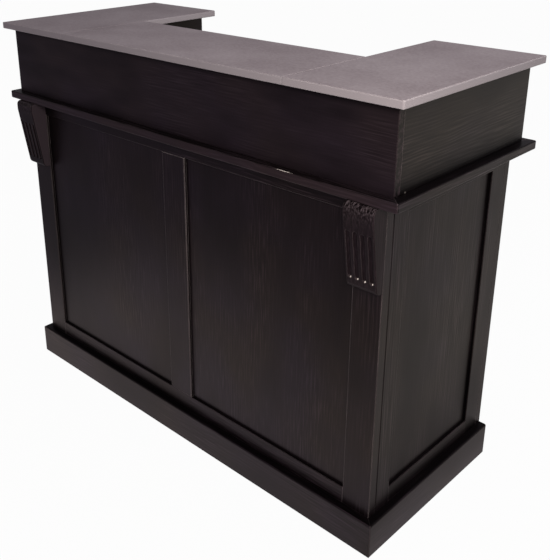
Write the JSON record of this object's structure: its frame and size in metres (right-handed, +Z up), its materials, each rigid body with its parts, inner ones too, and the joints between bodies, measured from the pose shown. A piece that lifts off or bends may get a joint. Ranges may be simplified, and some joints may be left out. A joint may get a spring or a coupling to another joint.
{
  "type": "portable bar",
  "caption": "Standing-height portable bar: panelled front with fluted corbels, side wings that fold in, a lift-off counter and a lift-off U-shaped riser with grey top slabs.",
  "frame": {"origin": "on the floor at the middle of the bar's outer box", "axes": "+Z up, -Y towards the customer's side, +X to the right seen from that side"},
  "size_m": [1.45, 0.619, 1.15],
  "materials": {
    "ebony_solid": "satin dark stain",
    "ebony_veneer": "satin dark stain",
    "grey_laminate": "matte",
    "hinge_steel": "zinc plated",
    "tongue_beech": "bare",
    "cleat_softwood": "bare"
  },
  "bodies": {
    "front_panel": {"front_left_stile": "ebony_solid", "front_centre_stile": "ebony_solid", "front_right_stile": "ebony_solid", "front_top_rail": "ebony_solid", "front_bottom_rail": "ebony_solid", "front_left_panel": "ebony_veneer", "front_right_panel": "ebony_veneer", "front_plinth": "ebony_solid", "left_corbel": "ebony_solid", "right_corbel": "ebony_solid", "counter_tongues": "tongue_beech", "left_hinge_front_leaves": "hinge_steel", "right_hinge_front_leaves": "hinge_steel"},
    "left_wing": {"left_wing_front_stile": "ebony_solid", "left_wing_back_stile": "ebony_solid", "left_wing_top_rail": "ebony_solid", "left_wing_bottom_rail": "ebony_solid", "left_wing_panel": "ebony_veneer", "left_wing_back_lipping": "ebony_solid", "left_wing_plinth": "ebony_solid", "left_hinge_wing_leaves": "hinge_steel"},
    "right_wing": {"right_wing_front_stile": "ebony_solid", "right_wing_back_stile": "ebony_solid", "right_wing_top_rail": "ebony_solid", "right_wing_bottom_rail": "ebony_solid", "right_wing_panel": "ebony_veneer", "right_wing_back_lipping": "ebony_solid", "right_wing_plinth": "ebony_solid", "right_hinge_wing_leaves": "hinge_steel"},
    "counter": {"counter_board": "ebony_veneer", "counter_front_lipping": "ebony_solid", "counter_right_lipping": "ebony_solid", "counter_back_lipping": "ebony_solid", "counter_left_lipping": "ebony_solid"},
    "riser": {"riser_front_board": "ebony_veneer", "left_riser_side_board": "ebony_veneer", "right_riser_side_board": "ebony_veneer", "left_riser_inner_side_board": "ebony_veneer", "right_riser_inner_side_board": "ebony_veneer", "riser_inner_front_board": "ebony_veneer", "left_riser_end_board": "ebony_veneer", "right_riser_end_board": "ebony_veneer", "riser_corner_blocks": "cleat_softwood", "slab_cleats": "cleat_softwood", "riser_tongues": "tongue_beech", "left_top_slab": "grey_laminate", "centre_top_slab": "grey_laminate", "right_top_slab": "grey_laminate", "seam_plates": "hinge_steel"}
  },
  "joints": [
    {"name": "left_wing_fold", "type": "hinge", "parent": "front_panel", "child": "left_wing", "pos_m": [-0.6445, -0.229, 0.45], "axis": [0, 0, -1], "range_deg": [0, 90]},
    {"name": "right_wing_fold", "type": "hinge", "parent": "front_panel", "child": "right_wing", "pos_m": [0.6445, -0.229, 0.45], "axis": [0, 0, 1], "range_deg": [0, 90]},
    {"name": "counter_lift", "type": "slide", "parent": "front_panel", "child": "counter", "axis": [0, 0, 1], "range_m": [0, 0.25]},
    {"name": "riser_lift", "type": "slide", "parent": "counter", "child": "riser", "axis": [0, 0, 1], "range_m": [0, 0.25]}
  ]
}
